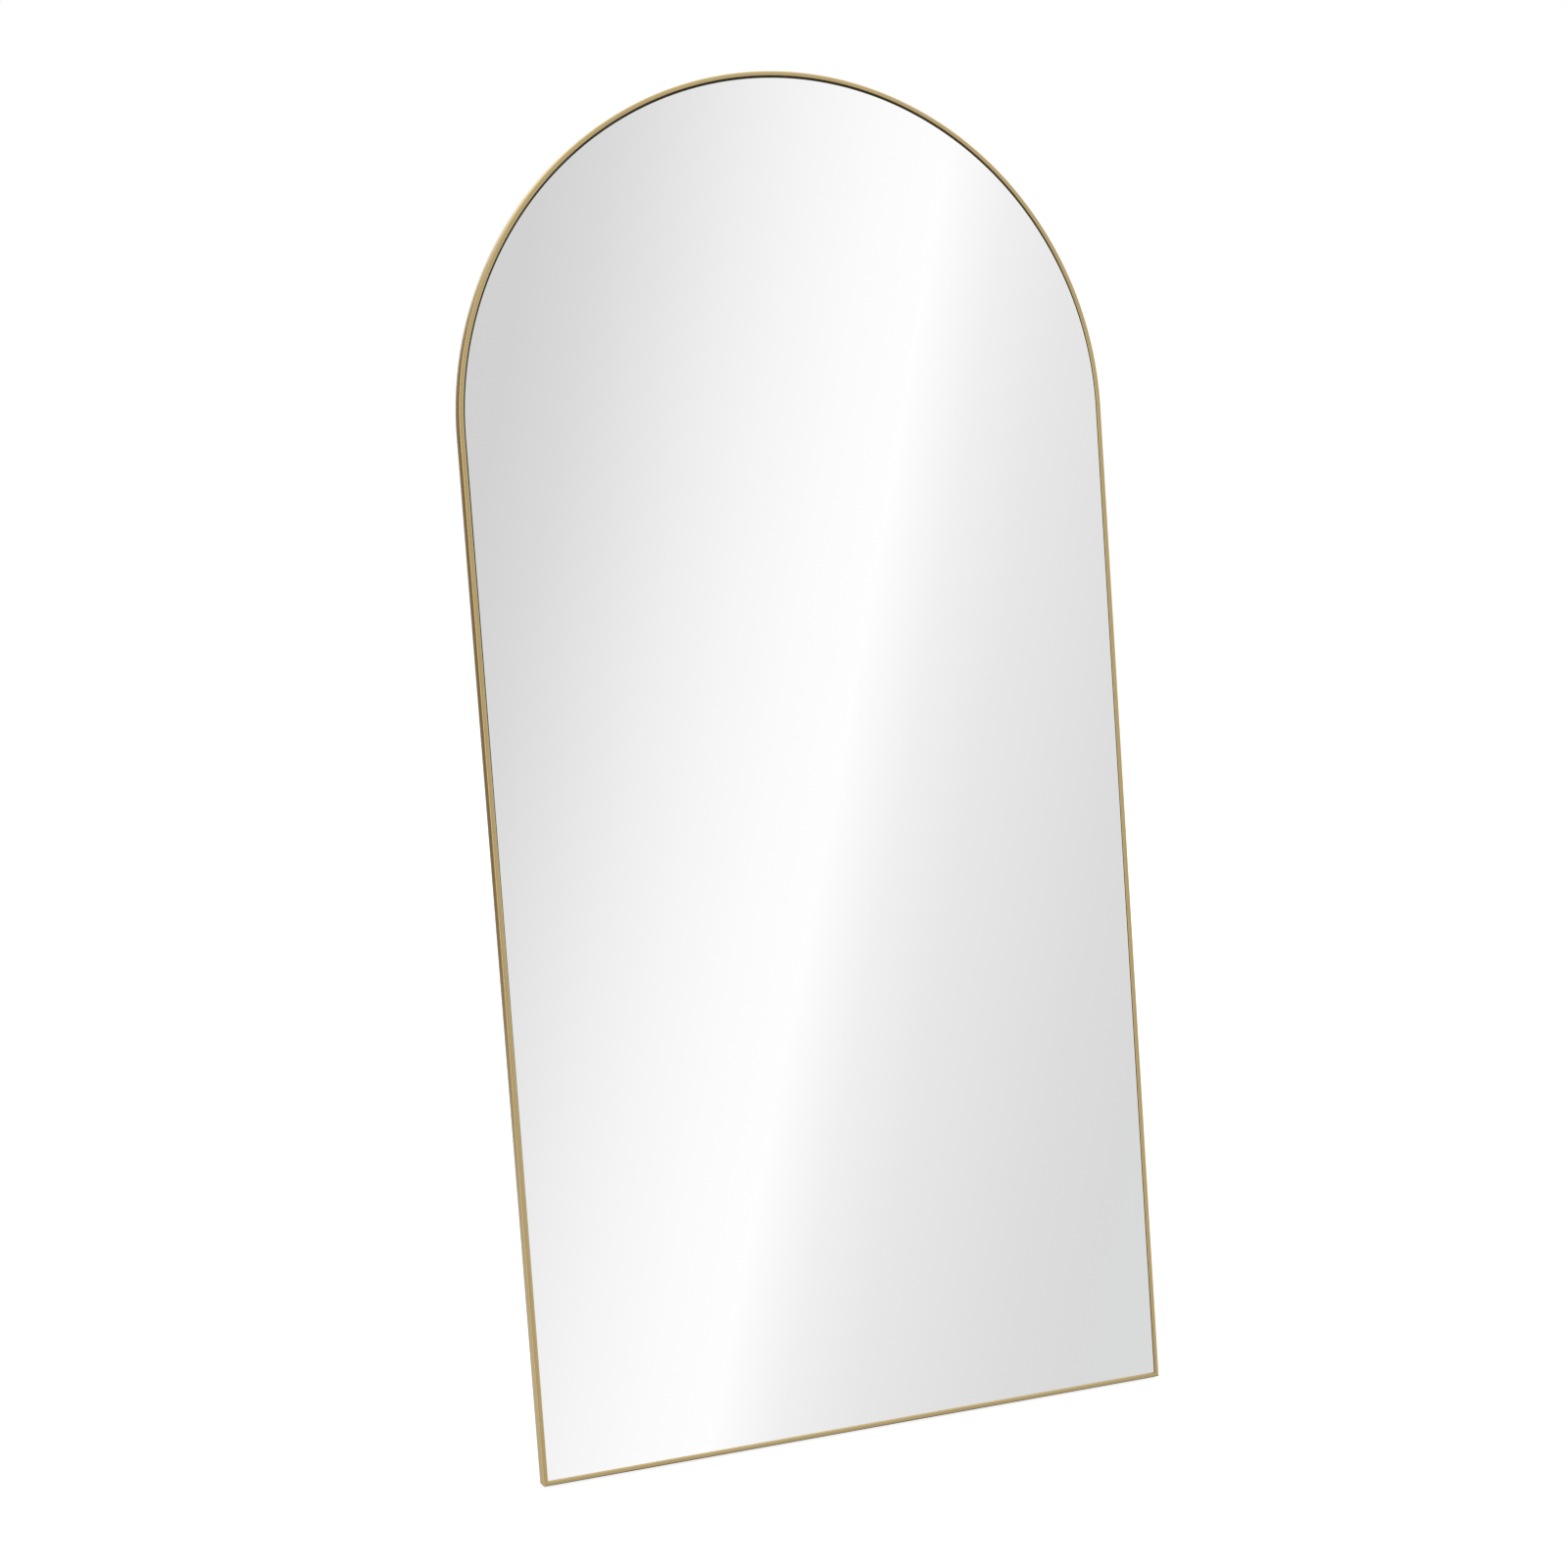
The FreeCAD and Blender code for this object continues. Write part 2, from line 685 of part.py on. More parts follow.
def floor_strip():
    """Strip under the bottom rail, its heel cut so that it lies flat on the floor."""
    section = rounded_face([
        (STRIP_SETBACK, 0),
        (STRIP_REAR, 0),
        (STRIP_REAR, HEEL_RISE - STRIP_THICKNESS),
        (STRIP_REAR - STRIP_HEEL, -STRIP_THICKNESS),
        (STRIP_SETBACK, -STRIP_THICKNESS, STRIP_EDGE_RADIUS),
    ])
    half = RADIUS - STRIP_END_DISTANCE
    return along_x(section, -half, 2 * half)


def place(shape):
    """Lean a finished piece back about the point where the mirror stands."""
    leaned = shape.translated(FLOOR_POINT * -1)
    return leaned.rotated(CENTRE, ACROSS, -LEAN_ANGLE)


def pieces():
    """Every node of the mirror, by name, with the mirror still plumb."""
    made = {
        "frame_arch": frame_arch(),
        "bottom_rail": bottom_rail(),
        "corner_screws": corner_screws(),
        "mirror_glass": mirror_glass(),
        "safety_film": safety_film(),
        "backing_board": backing_board(),
        "arch_gasket": arch_gasket(),
        "bottom_tape": bottom_tape(),
        "setting_blocks": setting_blocks(),
        "edge_spacers": edge_spacers(),
        "bow_springs": bow_springs(),
        "cross_bar_screws": cross_bar_screws(),
        "hanger_rivets": hanger_rivets(),
        "floor_strip": floor_strip(),
    }
    for name in BAR_HEIGHTS:
        made["cross_bar_" + name] = cross_bar(name)
    pairs = {
        "corner_key": corner_key(),
        "corner_shim": corner_shim(),
        "hanger_strap": hanger_strap(),
        "d_ring": d_ring(),
        "hanger_buffer": hanger_buffer(),
        "wall_bumper": wall_bumper(),
    }
    for name, left in pairs.items():
        made[name + "_left"] = left
        made[name + "_right"] = mirrored(left)
    return made


def main():
    os.makedirs("parts", exist_ok=True)
    for name, shape in pieces().items():
        place(shape).exportStep("parts/" + name + ".step")


main()
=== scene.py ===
"""Finished look of an arched floor mirror in a thin brushed metal frame, leaning on a wall.

New pieces are modelled with the mirror plumb: X runs across, Y from the front face to the
back, Z up from the underside of the frame.  leaned() then tips each mesh back into the row's
frame.  A frame section is drawn in u, measured inwards from the outer face, and v, measured
backwards from the front face.  Lengths are metres and angles degrees.
"""
import bpy
import bmesh
import json
import math
from mathutils import Matrix, Vector


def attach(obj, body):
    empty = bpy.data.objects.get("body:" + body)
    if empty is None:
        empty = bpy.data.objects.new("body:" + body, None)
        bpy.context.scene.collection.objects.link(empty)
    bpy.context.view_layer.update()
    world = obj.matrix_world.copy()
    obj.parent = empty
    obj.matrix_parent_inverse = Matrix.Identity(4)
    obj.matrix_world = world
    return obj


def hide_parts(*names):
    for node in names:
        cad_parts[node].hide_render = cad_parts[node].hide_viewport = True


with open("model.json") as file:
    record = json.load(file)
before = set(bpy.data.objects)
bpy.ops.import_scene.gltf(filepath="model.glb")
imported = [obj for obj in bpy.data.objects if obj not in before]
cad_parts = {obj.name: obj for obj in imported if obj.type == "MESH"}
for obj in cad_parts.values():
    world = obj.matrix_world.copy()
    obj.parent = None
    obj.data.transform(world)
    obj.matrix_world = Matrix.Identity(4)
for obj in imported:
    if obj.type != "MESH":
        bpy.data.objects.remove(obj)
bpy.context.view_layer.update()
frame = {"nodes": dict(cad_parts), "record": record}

MM = 0.001

# How near two things are to count as one, in metres
EXACT = 1e-7
TOUCHING = 1e-6
NEARLY = 1e-5
SHEET_TOLERANCE = 2e-5

# Outline and posture
WIDTH = 914 * MM
HEIGHT = 1829 * MM
RADIUS = WIDTH / 2
SPRING_LINE = HEIGHT - RADIUS
LEAN_ANGLE = 11.3
FLOOR_POINT = Vector((0, 15.25 * MM, -1.7506 * MM))

# Frame section
FACE_WIDTH = 6 * MM
LIP_THICKNESS = 1.8 * MM
WALL_THICKNESS = 1.5 * MM
WEB_FRONT = 13.2 * MM
WEB_BACK = 14.4 * MM
HOOK_FRONT = 17.8 * MM
DEPTH = 19 * MM
OUTER_HOOK_EDGE = 4.5 * MM
INNER_HOOK_EDGE = 10 * MM
CHANNEL_INNER = 12.8 * MM
SECTION_WIDTH = 14 * MM
OUTER_EDGE_ROUND = 1.4 * MM
LIP_EDGE_ROUND = 1.0 * MM
LIP_BACK_ROUND = 0.35 * MM
REAR_EDGE_ROUND = 0.3 * MM
NOTCH_HALF = 15.5 * MM
MITRE_EDGE_ROUND = 0.12 * MM

# Gasket that shows beside the lip, shaped as a painted shade line: its edge in the head sits low
# and a little to the right, and it narrows to a hair at the feet
GASKET_OUTER = 2.7 * MM
GASKET_REVEAL = 1.15 * MM
SHADE_LINE_HEAD_SHIFT = Vector((0.75 * MM, 0, -1.4 * MM))
SHADE_LINE_FOOT_REVEAL = 0.3 * MM
GASKET_THICKNESS = 0.5 * MM
GASKET_FOOT = 5.6 * MM

# Cross bars and what they carry
BAR_HEIGHTS = {"upper": 1250 * MM, "lower": 300 * MM}
BAR_WIDTH = 30 * MM
BAR_THICKNESS = 3 * MM
BAR_HALF_LENGTH = 452 * MM
BAR_BACK = WEB_BACK + BAR_THICKNESS
BAR_END_ROUND = 2 * MM
BAR_EDGE_ROUND = 0.35 * MM
SCREW_X = 447.7 * MM
GRUB_DISTANCE = 30 * MM
HANGER_X = 250 * MM
EYE_DEPTH = 19.98 * MM
EYE_HEIGHT = 1231.8 * MM
STRAP_SHEET = 1 * MM
STRAP_BACK = BAR_BACK + 2 * STRAP_SHEET
STRAP_WIDTH = 16 * MM
STRAP_LENGTH = 24 * MM
STRAP_END_RADIUS = 7.2 * MM
STRAP_SLIT = 0.04 * MM
STRAP_NECK = 1.1 * MM
RING_WIRE = 3 * MM
RING_WIDTH = 24 * MM
RING_SIDE = 5 * MM
RING_CORNER_RADIUS = 3 * MM
BUFFER_X = 390 * MM
BUFFER_PROUD = 10 * MM
BUMPER_ANGLE = 13
RIVET_ABOVE_EYE = 15 * MM
SLOT_CENTRE = (OUTER_HOOK_EDGE + INNER_HOOK_EDGE) / 2

HEAD_CENTRE = Vector((0, 0, SPRING_LINE))
ACROSS = Vector((1, 0, 0))
BACKWARDS = Vector((0, 1, 0))
UP = Vector((0, 0, 1))
HEAD_STEPS = 240
RAIL_GRAIN_START = 5 * WIDTH


# Meshes


def leaned():
    """The transform that tips a plumb mesh back about the point where the mirror stands."""
    return Matrix.Rotation(math.radians(-LEAN_ANGLE), 4, "X") @ Matrix.Translation(-FLOOR_POINT)


def outline(bm, points):
    """Closed loop of edges through points; returns its vertices."""
    verts = [bm.verts.new(point) for point in points]
    for i, vert in enumerate(verts):
        bm.edges.new((vert, verts[(i + 1) % len(verts)]))
    return verts


def rounded(bm, verts, radius, steps=3):
    """Round some corners of a flat outline."""
    bmesh.ops.bevel(
        bm, geom=verts, offset=radius, offset_type="OFFSET", affect="VERTICES",
        segments=steps, profile=0.5, material=-1,
    )


def swept_on(bm, edges, by):
    """Extrude edges straight on by a vector; returns the new edges."""
    made = bmesh.ops.extrude_edge_only(bm, edges=edges)["geom"]
    verts = [each for each in made if isinstance(each, bmesh.types.BMVert)]
    bmesh.ops.translate(bm, verts=verts, vec=by)
    return [each for each in made if isinstance(each, bmesh.types.BMEdge)]


def swept_round(bm, edges, centre, axis, angle, steps):
    """Spin edges about an axis; returns the edges where it ends."""
    made = bmesh.ops.spin(
        bm, geom=edges, cent=centre, axis=axis, angle=math.radians(angle), steps=steps,
        use_merge=False, use_duplicate=False,
    )["geom_last"]
    return [each for each in made if isinstance(each, bmesh.types.BMEdge)]


def capped(bm):
    """Close every open end of a mesh."""
    rims = [edge for edge in bm.edges if edge.is_boundary]
    bmesh.ops.holes_fill(bm, edges=rims, sides=0)


def cut_off(bm, point, normal, side=0):
    """Take away what lies ahead of a plane, left (-1) or right (1) of the middle or on both (0);
    close the cut and break its edges, so that the seam shows."""
    faces = [face for face in bm.faces if face.calc_center_median().x * side >= 0]
    verts = {vert for face in faces for vert in face.verts}
    edges = {edge for face in faces for edge in face.edges}
    bmesh.ops.bisect_plane(
        bm, geom=list(verts) + list(edges) + faces, dist=EXACT, plane_co=point, plane_no=normal,
        clear_outer=True,
    )
    rims = [edge for edge in bm.edges if edge.is_boundary]
    closed = bmesh.ops.holes_fill(bm, edges=rims, sides=0)["faces"]
    bmesh.ops.recalc_face_normals(bm, faces=bm.faces[:])
    near = [edge for face in closed for edge in face.edges
            if abs((edge.verts[0].co - Vector(point)).dot(normal)) < NEARLY]
    bmesh.ops.bevel(
        bm, geom=list(dict.fromkeys(near)), offset=MITRE_EDGE_ROUND, offset_type="OFFSET",
        affect="EDGES", segments=1, profile=0.5, material=-1, clamp_overlap=True,
    )


def turned_piece(bm, profile, steps=48):
    """Spin a profile drawn as (radius, v) about the depth axis through the origin."""
    verts = [bm.verts.new((radius, v, 0)) for radius, v in profile]
    edges = [bm.edges.new(pair) for pair in zip(verts, verts[1:])]
    bmesh.ops.spin(
        bm, geom=verts + edges, cent=(0, 0, 0), axis=BACKWARDS, angle=math.tau, steps=steps,
        use_merge=True, use_duplicate=False,
    )
    bmesh.ops.remove_doubles(bm, verts=bm.verts[:], dist=TOUCHING)


def moved(bm, verts, by):
    bmesh.ops.translate(bm, verts=verts, vec=by)


def with_grain(bm, place):
    """Keep (u, v, run) at each vertex, for patterns that follow a piece's length."""
    grain = bm.verts.layers.float_vector.new("grain")
    for vert in bm.verts:
        vert[grain] = place(vert.co)


def finished(name, bm, body, material, nodes, sharp=35):
    """Lean the mesh, give it its finish and let it stand for its nodes."""
    bmesh.ops.remove_doubles(bm, verts=bm.verts[:], dist=TOUCHING)
    bmesh.ops.recalc_face_normals(bm, faces=bm.faces[:])
    bmesh.ops.transform(bm, matrix=leaned(), verts=bm.verts[:])
    mesh = bpy.data.meshes.new(name)
    for face in bm.faces:
        face.smooth = True
    bm.to_mesh(mesh)
    bm.free()
    mesh.set_sharp_from_angle(angle=math.radians(sharp))
    mesh.materials.append(material)
    piece = bpy.data.objects.new(name, mesh)
    bpy.context.scene.collection.objects.link(piece)
    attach(piece, body)
    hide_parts(*nodes)


# Materials

GOLD_DARK = (0.51, 0.395, 0.195)
GOLD_LIGHT = (0.63, 0.490, 0.252)
GOLD_ROUGHNESS = (0.24, 0.36)
GOLD_STREAKS = (6000, 6000, 18)
GOLD_CLOUDS = (60, 60, 6)
SILVER_DARK = (0.985, 0.99, 0.985)
SILVER_LIGHT = (0.99, 0.995, 0.99)
SILVER_ROUGHNESS = (0.0, 0.004)
BOARD_DARK = (0.34, 0.23, 0.135)
BOARD_LIGHT = (0.50, 0.36, 0.225)
BOARD_ROUGHNESS = 0.78


def node_material(name):
    material = bpy.data.materials.new(name)
    material.use_nodes = True
    tree = material.node_tree
    return material, tree, tree.nodes["Principled BSDF"]


def added(tree, kind, **settings):
    node = tree.nodes.new(kind)
    for key, value in settings.items():
        setattr(node, key, value)
    return node


def noise(tree, vector, scale, detail=3.0, roughness=0.55):
    node = added(tree, "ShaderNodeTexNoise")
    node.inputs["Scale"].default_value = scale
    node.inputs["Detail"].default_value = detail
    node.inputs["Roughness"].default_value = roughness
    tree.links.new(vector, node.inputs["Vector"])
    return node.outputs["Fac"]


def stretched(tree, vector, scale):
    node = added(tree, "ShaderNodeMapping", vector_type="POINT")
    node.inputs["Scale"].default_value = scale
    tree.links.new(vector, node.inputs["Vector"])
    return node.outputs["Vector"]


def object_place(tree):
    return added(tree, "ShaderNodeTexCoord").outputs["Object"]


def grain_place(tree):
    return added(tree, "ShaderNodeAttribute", attribute_name="grain").outputs["Vector"]


def ramp(tree, value, stops):
    """Colour ramp through (position, colour) stops."""
    node = added(tree, "ShaderNodeValToRGB")
    elements = node.color_ramp.elements
    while len(elements) < len(stops):
        elements.new(0.5)
    for element, (position, colour) in zip(elements, stops):
        element.position = position
        element.color = (*colour, 1)
    tree.links.new(value, node.inputs["Fac"])
    return node.outputs["Color"]


def spread(tree, value, low, high):
    """Map a 0 to 1 value to low to high."""
    node = added(tree, "ShaderNodeMapRange")
    node.inputs["To Min"].default_value = low
    node.inputs["To Max"].default_value = high
    tree.links.new(value, node.inputs["Value"])
    return node.outputs["Result"]


def bump(tree, shader, height, strength, distance):
    node = added(tree, "ShaderNodeBump")
    node.inputs["Strength"].default_value = strength
    node.inputs["Distance"].default_value = distance
    tree.links.new(height, node.inputs["Height"])
    tree.links.new(node.outputs["Normal"], shader.inputs["Normal"])


def grey(value):
    return (value, value, value)


def plain_finish(name, dark, light, roughness, metallic=0.0, scale=900.0, relief=0.02 * MM):
    """Surface with a fine speckle of tone, gloss and relief."""
    material, tree, shader = node_material(name)
    place = object_place(tree)
    coarse = noise(tree, place, scale / 12)
    fine = noise(tree, place, scale)
    tone = ramp(tree, coarse, [(0.3, dark), (0.7, light)])
    tree.links.new(tone, shader.inputs["Base Color"])
    gloss = spread(tree, coarse, roughness[0], roughness[1])
    tree.links.new(gloss, shader.inputs["Roughness"])
    shader.inputs["Metallic"].default_value = metallic
    bump(tree, shader, fine, 0.3, relief)
    return material


def brushed_gold():
    """Satin metal with fine streaks along each length and faint clouds of tone."""
    material, tree, shader = node_material("brushed_gold")
    place = grain_place(tree)
    streaks = noise(tree, stretched(tree, place, GOLD_STREAKS), 1.0, 4.0)
    cloud = noise(tree, stretched(tree, place, GOLD_CLOUDS), 1.0, 2.0)
    both = added(tree, "ShaderNodeMath", operation="ADD")
    tree.links.new(streaks, both.inputs[0])
    tree.links.new(cloud, both.inputs[1])
    half = spread(tree, both.outputs["Value"], 0.0, 0.5)
    tone = ramp(tree, half, [(0.30, GOLD_DARK), (0.70, GOLD_LIGHT)])
    tree.links.new(tone, shader.inputs["Base Color"])
    gloss = spread(tree, streaks, *GOLD_ROUGHNESS)
    tree.links.new(gloss, shader.inputs["Roughness"])
    shader.inputs["Metallic"].default_value = 1.0
    bump(tree, shader, streaks, 0.15, 0.01 * MM)
    return material


def silvered_glass():
    """Mirror, a hair uneven in tint and gloss."""
    material, tree, shader = node_material("silvered_glass")
    place = object_place(tree)
    haze = noise(tree, place, 3.0, 2.0)
    tone = ramp(tree, haze, [(0.3, SILVER_DARK), (0.7, SILVER_LIGHT)])
    tree.links.new(tone, shader.inputs["Base Color"])
    gloss = spread(tree, haze, *SILVER_ROUGHNESS)
    tree.links.new(gloss, shader.inputs["Roughness"])
    shader.inputs["Metallic"].default_value = 1.0
    return material


def fibreboard():
    """Raw board with short fibres and a cloudy tone."""
    material, tree, shader = node_material("fibreboard")
    place = object_place(tree)
    fibre = noise(tree, place, 700.0, 6.0, 0.7)
    cloud = noise(tree, place, 9.0, 3.0)
    tone = ramp(tree, fibre, [(0.3, BOARD_DARK), (0.7, BOARD_LIGHT)])
    shade = ramp(tree, cloud, [(0.3, grey(0.9)), (0.7, grey(1.0))])
    mix = added(tree, "ShaderNodeMix", data_type="RGBA", blend_type="MULTIPLY")
    mix.inputs["Factor"].default_value = 1.0
    tree.links.new(tone, mix.inputs["A"])
    tree.links.new(shade, mix.inputs["B"])
    tree.links.new(mix.outputs["Result"], shader.inputs["Base Color"])
    shader.inputs["Roughness"].default_value = BOARD_ROUGHNESS
    bump(tree, shader, fibre, 0.4, 0.05 * MM)
    return material


def make_finishes():
    """The record's material slots, each with its finish."""
    return {
        "frame_metal": brushed_gold(),
        "mirror_glass": silvered_glass(),
        "board": fibreboard(),
        "zinc_steel": plain_finish(
            "zinc_plate", grey(0.42), grey(0.58), (0.28, 0.42), metallic=1.0, scale=400.0),
        "screw_steel": plain_finish(
            "screw_plate", grey(0.40), grey(0.52), (0.25, 0.36), metallic=1.0),
        "safety_film": plain_finish(
            "safety_film", grey(0.55), grey(0.60), (0.35, 0.5), scale=60.0),
        # Dark rubber, partly its own colour and partly painted shade: the brown tint matches the
        # shade line that the dressed gasket draws
        "gasket_rubber": plain_finish(
            "gasket_rubber", (0.018, 0.013, 0.006), (0.028, 0.020, 0.010), (0.6, 0.75)),
        "foam": plain_finish(
            "foam", grey(0.04), grey(0.07), (0.85, 0.95), scale=2500.0, relief=0.1 * MM),
        "packer_plastic": plain_finish(
            "packer_nylon", grey(0.62), grey(0.68), (0.4, 0.5)),
        "spring_steel": plain_finish(
            "blued_spring", (0.10, 0.11, 0.15), (0.15, 0.16, 0.20), (0.3, 0.42), metallic=1.0),
        "bar_steel": plain_finish(
            "black_powder_coat", grey(0.018), grey(0.028), (0.42, 0.55),
            scale=1500.0, relief=0.06 * MM),
        "rivet_aluminium": plain_finish(
            "rivet_aluminium", grey(0.66), grey(0.76), (0.26, 0.36), metallic=1.0),
        "ring_steel": plain_finish(
            "nickel_plate", (0.60, 0.585, 0.55), (0.68, 0.665, 0.63), (0.12, 0.2), metallic=1.0),
        "bumper_rubber": plain_finish(
            "black_rubber", grey(0.015), grey(0.025), (0.5, 0.65), scale=1500.0),
    }


# Frame


def frame_section(bm, to_space):
    """The frame's section with its edges rounded; to_space turns (u, v) into a point."""
    corners = [
        (0, 0, OUTER_EDGE_ROUND),
        (FACE_WIDTH, 0, LIP_EDGE_ROUND),
        (FACE_WIDTH, LIP_THICKNESS, LIP_BACK_ROUND),
        (WALL_THICKNESS, LIP_THICKNESS, 0),
        (WALL_THICKNESS, WEB_FRONT, 0),
        (SECTION_WIDTH, WEB_FRONT, REAR_EDGE_ROUND),
        (SECTION_WIDTH, DEPTH, REAR_EDGE_ROUND),
        (INNER_HOOK_EDGE, DEPTH, REAR_EDGE_ROUND),
        (INNER_HOOK_EDGE, HOOK_FRONT, 0),
        (CHANNEL_INNER, HOOK_FRONT, 0),
        (CHANNEL_INNER, WEB_BACK, 0),
        (WALL_THICKNESS, WEB_BACK, 0),
        (WALL_THICKNESS, HOOK_FRONT, 0),
        (OUTER_HOOK_EDGE, HOOK_FRONT, 0),
        (OUTER_HOOK_EDGE, DEPTH, REAR_EDGE_ROUND),
        (0, DEPTH, REAR_EDGE_ROUND),
    ]
    verts = outline(bm, [to_space(u, v) for u, v, _ in corners])
    for radius in (OUTER_EDGE_ROUND, LIP_EDGE_ROUND, LIP_BACK_ROUND, REAR_EDGE_ROUND):
        alike = [vert for vert, corner in zip(verts, corners) if corner[2] == radius]
        rounded(bm, alike, radius, 4)
    return bm.edges[:]


def arch_grain(co):
    """(u, v, run) on legs and head, with the run measured from the left foot."""
    if co.z <= SPRING_LINE:
        run = co.z if co.x < 0 else 2 * SPRING_LINE + math.pi * RADIUS - co.z
        return Vector((RADIUS - abs(co.x), co.y, run))
    rise = co.z - SPRING_LINE
    angle = math.atan2(rise, -co.x)
    return Vector((RADIUS - math.hypot(co.x, rise), co.y, SPRING_LINE + angle * RADIUS))


def rail_grain(co):
    """(u, v, run) on the bottom rail, far along, so that its streaks aren't the legs'."""
    return Vector((co.z, co.y, co.x + RAIL_GRAIN_START))


def notched(bm, height):
    """Cut the gaps in both legs' channels through which a cross bar reaches the web."""
    for edge_of_gap in (height - NOTCH_HALF, height + NOTCH_HALF):
        geom = bm.verts[:] + bm.edges[:] + bm.faces[:]
        bmesh.ops.bisect_plane(bm, geom=geom, dist=EXACT, plane_co=(0, 0, edge_of_gap), plane_no=UP)
    channel = [face for face in bm.faces if in_gap(face.calc_center_median(), height)]
    verts = {vert for face in channel for vert in face.verts}
    edges = {edge for face in channel for edge in face.edges}
    bmesh.ops.bisect_plane(
        bm, geom=list(verts) + list(edges) + channel, dist=EXACT,
        plane_co=(0, WEB_BACK, 0), plane_no=BACKWARDS,
    )
    gone = [face for face in bm.faces
            if in_gap(face.calc_center_median(), height)
            and face.calc_center_median().y > WEB_BACK + NEARLY]
    bmesh.ops.delete(bm, geom=gone, context="FACES")
    for side in (-1, 1):
        closed_notch(bm, height, side)


def closed_notch(bm, height, side):
    """Close the two ends and the floor of the gap in one leg."""
    for level in (height - NOTCH_HALF, height + NOTCH_HALF):
        rim = [edge for edge in open_edges(bm, height, side)
               if all(abs(vert.co.z - level) < TOUCHING for vert in edge.verts)]
        feet = [vert for edge in rim for vert in edge.verts if abs(vert.co.y - WEB_BACK) < TOUCHING]
        rim.append(bm.edges.new(feet))
        bmesh.ops.edgeloop_fill(bm, edges=rim)
    bmesh.ops.edgeloop_fill(bm, edges=open_edges(bm, height, side))


def open_edges(bm, height, side):
    return [edge for edge in bm.edges if edge.is_boundary
            and all(vert.co.x * side > 0 for vert in edge.verts)
            and all(abs(vert.co.z - height) < BAR_WIDTH for vert in edge.verts)]


def in_gap(co, height):
    beside = RADIUS - abs(co.x) > INNER_HOOK_EDGE - TOUCHING
    return beside and abs(co.z - height) < NOTCH_HALF and co.y > WEB_FRONT


def frame_arch(finishes):
    """Left leg, half-round head and right leg: one length of the section, bent."""
    bm = bmesh.new()
    edges = frame_section(bm, lambda u, v: (u - RADIUS, v, 0))
    edges = swept_on(bm, edges, UP * SPRING_LINE)
    edges = swept_round(bm, edges, HEAD_CENTRE, BACKWARDS, 180, HEAD_STEPS)
    swept_on(bm, edges, UP * -SPRING_LINE)
    bmesh.ops.remove_doubles(bm, verts=bm.verts[:], dist=TOUCHING)
    for height in BAR_HEIGHTS.values():
        notched(bm, height)
    loose = [edge for edge in bm.edges if edge.is_wire]
    bmesh.ops.delete(bm, geom=loose, context="EDGES")
    for side in (-1, 1):
        cut_off(bm, (side * RADIUS, 0, 0), Vector((-side, 0, -1)), side)
    with_grain(bm, arch_grain)
    finished("frame_arch_dressed", bm, "mirror",
             finishes["frame_metal"], ["frame_arch"], 30)


def bottom_rail(finishes):
    bm = bmesh.new()
    edges = frame_section(bm, lambda u, v: (-RADIUS, v, u))
    swept_on(bm, edges, ACROSS * WIDTH)
    for side in (-1, 1):
        cut_off(bm, (side * RADIUS, 0, 0), Vector((side, 0, 1)))
    with_grain(bm, rail_grain)
    finished("bottom_rail_dressed", bm, "mirror",
             finishes["frame_metal"], ["bottom_rail"], 30)


def arch_gasket(finishes):
    """Gasket whose edge shows beside the lip as a painted shade line: a hair at the feet, most of
    it in the head.
    """
    bm = bmesh.new()
    front = LIP_THICKNESS
    back = LIP_THICKNESS + GASKET_THICKNESS
    inner = FACE_WIDTH + GASKET_REVEAL
    corners = [(GASKET_OUTER, front), (inner, front), (inner, back), (GASKET_OUTER, back)]
    verts = outline(bm, [(u - RADIUS, v, GASKET_FOOT) for u, v in corners])
    rounded(bm, [verts[1]], 0.2 * MM)
    edges = swept_on(bm, bm.edges[:], UP * (SPRING_LINE - GASKET_FOOT))
    edges = swept_round(bm, edges, HEAD_CENTRE, BACKWARDS, 180, HEAD_STEPS)
    swept_on(bm, edges, UP * (GASKET_FOOT - SPRING_LINE))
    bmesh.ops.remove_doubles(bm, verts=bm.verts[:], dist=TOUCHING)
    # Painted shade: the dark reveal tapers from its full width in the head to a hair at the feet,
    # and in the head its edge is shifted low and to the right
    for vert in bm.verts:
        if arch_grain(vert.co).x > FACE_WIDTH:
            head_share = min(1, vert.co.z / SPRING_LINE)
            closer = (GASKET_REVEAL - SHADE_LINE_FOOT_REVEAL) * (1 - head_share)
            vert.co += SHADE_LINE_HEAD_SHIFT * head_share
            vert.co.x += math.copysign(closer, vert.co.x)
    capped(bm)
    finished("arch_gasket_painted_shade", bm, "mirror",
             finishes["gasket_rubber"], ["arch_gasket"])


# Paths and turned profiles


def laid_path(bm, start, steps):
    """Edges from a start point on: (vector,) runs straight, (centre, axis, angle, count) turns."""
    last = bm.verts.new(start)
    for step in steps:
        if len(step) == 1:
            last = bmesh.ops.extrude_vert_indiv(bm, verts=[last])["verts"][0]
            last.co += step[0]
        else:
            centre, axis, angle, count = step
            made = bmesh.ops.spin(
                bm, geom=[last], cent=centre, axis=axis, angle=math.radians(angle), steps=count,
                use_merge=False, use_duplicate=False,
            )["geom_last"]
            last = [each for each in made if isinstance(each, bmesh.types.BMVert)][0]
    bmesh.ops.remove_doubles(bm, verts=bm.verts[:], dist=EXACT)


def dome(radius, base, rise, steps=8):
    """Profile of a low dome, as (radius, v), from its rim to its top."""
    ball = (radius * radius + rise * rise) / (2 * rise)
    spread_angle = math.asin(min(1.0, radius / ball))
    points = []
    for i in range(steps + 1):
        angle = spread_angle * (1 - i / steps)
        points.append((ball * math.sin(angle), base + rise - ball * (1 - math.cos(angle))))
    return points


